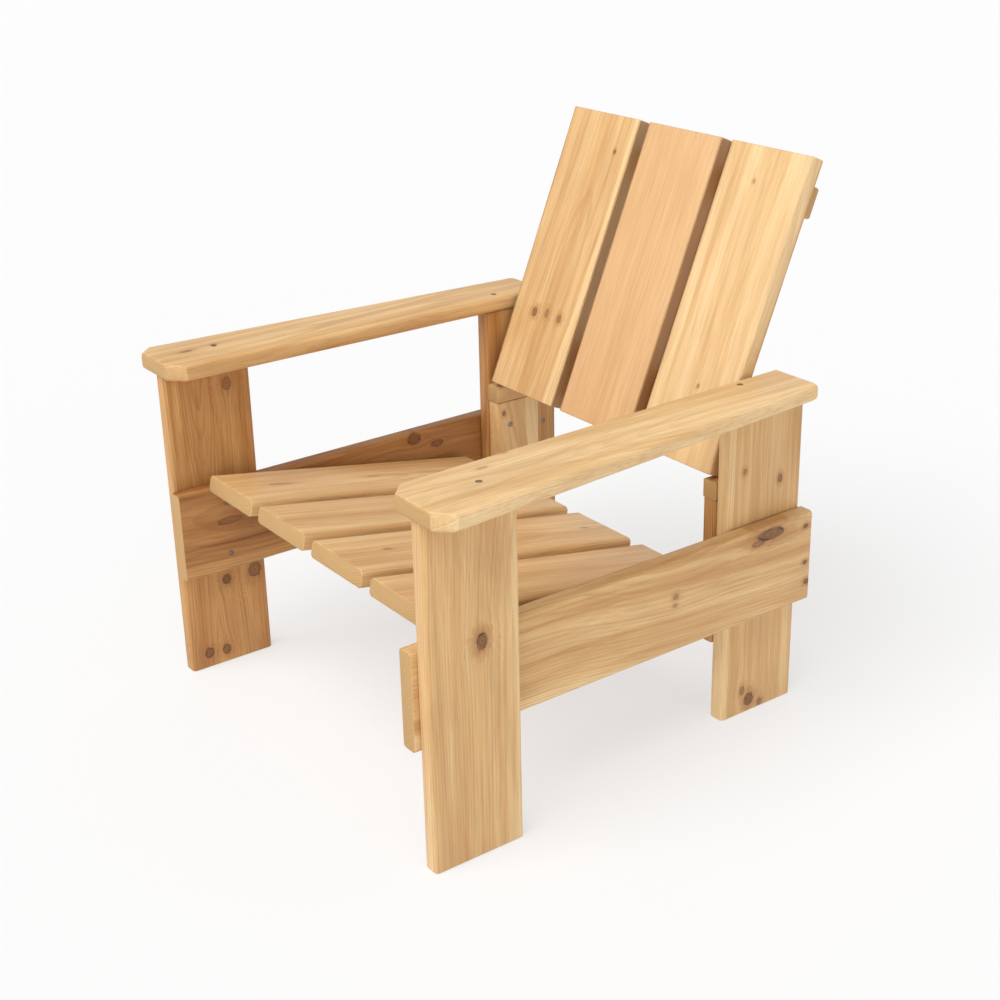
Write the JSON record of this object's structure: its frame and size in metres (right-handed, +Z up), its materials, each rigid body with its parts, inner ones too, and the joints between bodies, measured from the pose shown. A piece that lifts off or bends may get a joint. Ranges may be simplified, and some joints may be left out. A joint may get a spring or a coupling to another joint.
{
  "type": "lounge chair",
  "caption": "Low wooden garden armchair with a sloping slatted seat, a leaning slatted back, wide flat armrests and board legs.",
  "frame": {"origin": "on the ground, under the centre of the chair's overall length and width", "axes": "+Z up, -Y the way the sitter faces, +X the sitter's left"},
  "size_m": [0.7984, 0.7441, 0.798],
  "materials": {
    "cedar_leg": "clear satin finish over straight-grained cedar",
    "cedar_rail": "clear satin finish over straight-grained cedar",
    "cedar_arm": "clear satin finish over straight-grained cedar",
    "cedar_seat": "clear satin finish over straight-grained cedar",
    "cedar_back": "clear satin finish over straight-grained cedar",
    "cedar_rose": "clear satin finish over straight-grained cedar",
    "cedar_deep": "clear satin finish over straight-grained cedar",
    "zinc_screw": "dull zinc plate"
  },
  "bodies": {
    "root": {"arm_screw_front_left": "zinc_screw", "arm_screw_front_right": "zinc_screw", "arm_screw_rear_left": "zinc_screw", "arm_screw_rear_right": "zinc_screw", "armrest_left": "cedar_arm", "armrest_right": "cedar_arm", "back_block_left": "cedar_deep", "back_block_right": "cedar_deep", "back_lower_rail": "cedar_deep", "back_screw_lower_1a": "zinc_screw", "back_screw_lower_1b": "zinc_screw", "back_screw_lower_2a": "zinc_screw", "back_screw_lower_2b": "zinc_screw", "back_screw_lower_3a": "zinc_screw", "back_screw_lower_3b": "zinc_screw", "back_screw_upper_1a": "zinc_screw", "back_screw_upper_1b": "zinc_screw", "back_screw_upper_2a": "zinc_screw", "back_screw_upper_2b": "zinc_screw", "back_screw_upper_3a": "zinc_screw", "back_screw_upper_3b": "zinc_screw", "back_slat_1": "cedar_back", "back_slat_2": "cedar_rose", "back_slat_3": "cedar_back", "back_upper_batten": "cedar_rail", "front_leg_left": "cedar_leg", "front_leg_right": "cedar_leg", "post_screw_lower_left": "zinc_screw", "post_screw_lower_right": "zinc_screw", "post_screw_upper_left": "zinc_screw", "post_screw_upper_right": "zinc_screw", "rail_screw_front_lower_left": "zinc_screw", "rail_screw_front_lower_right": "zinc_screw", "rail_screw_front_upper_left": "zinc_screw", "rail_screw_front_upper_right": "zinc_screw", "rail_screw_rear_lower_left": "zinc_screw", "rail_screw_rear_lower_right": "zinc_screw", "rail_screw_rear_upper_left": "zinc_screw", "rail_screw_rear_upper_right": "zinc_screw", "rear_leg_left": "cedar_leg", "rear_leg_right": "cedar_leg", "rear_post_left": "cedar_deep", "rear_post_right": "cedar_deep", "seat_bearer_front": "cedar_deep", "seat_bearer_rear": "cedar_deep", "seat_screw_front_1": "zinc_screw", "seat_screw_front_2": "zinc_screw", "seat_screw_front_3": "zinc_screw", "seat_screw_front_4": "zinc_screw", "seat_screw_rear_1": "zinc_screw", "seat_screw_rear_2": "zinc_screw", "seat_screw_rear_3": "zinc_screw", "seat_screw_rear_4": "zinc_screw", "seat_slat_1": "cedar_seat", "seat_slat_2": "cedar_seat", "seat_slat_3": "cedar_seat", "seat_slat_4": "cedar_seat", "side_rail_left": "cedar_rail", "side_rail_right": "cedar_rail"}
  },
  "joints": []
}
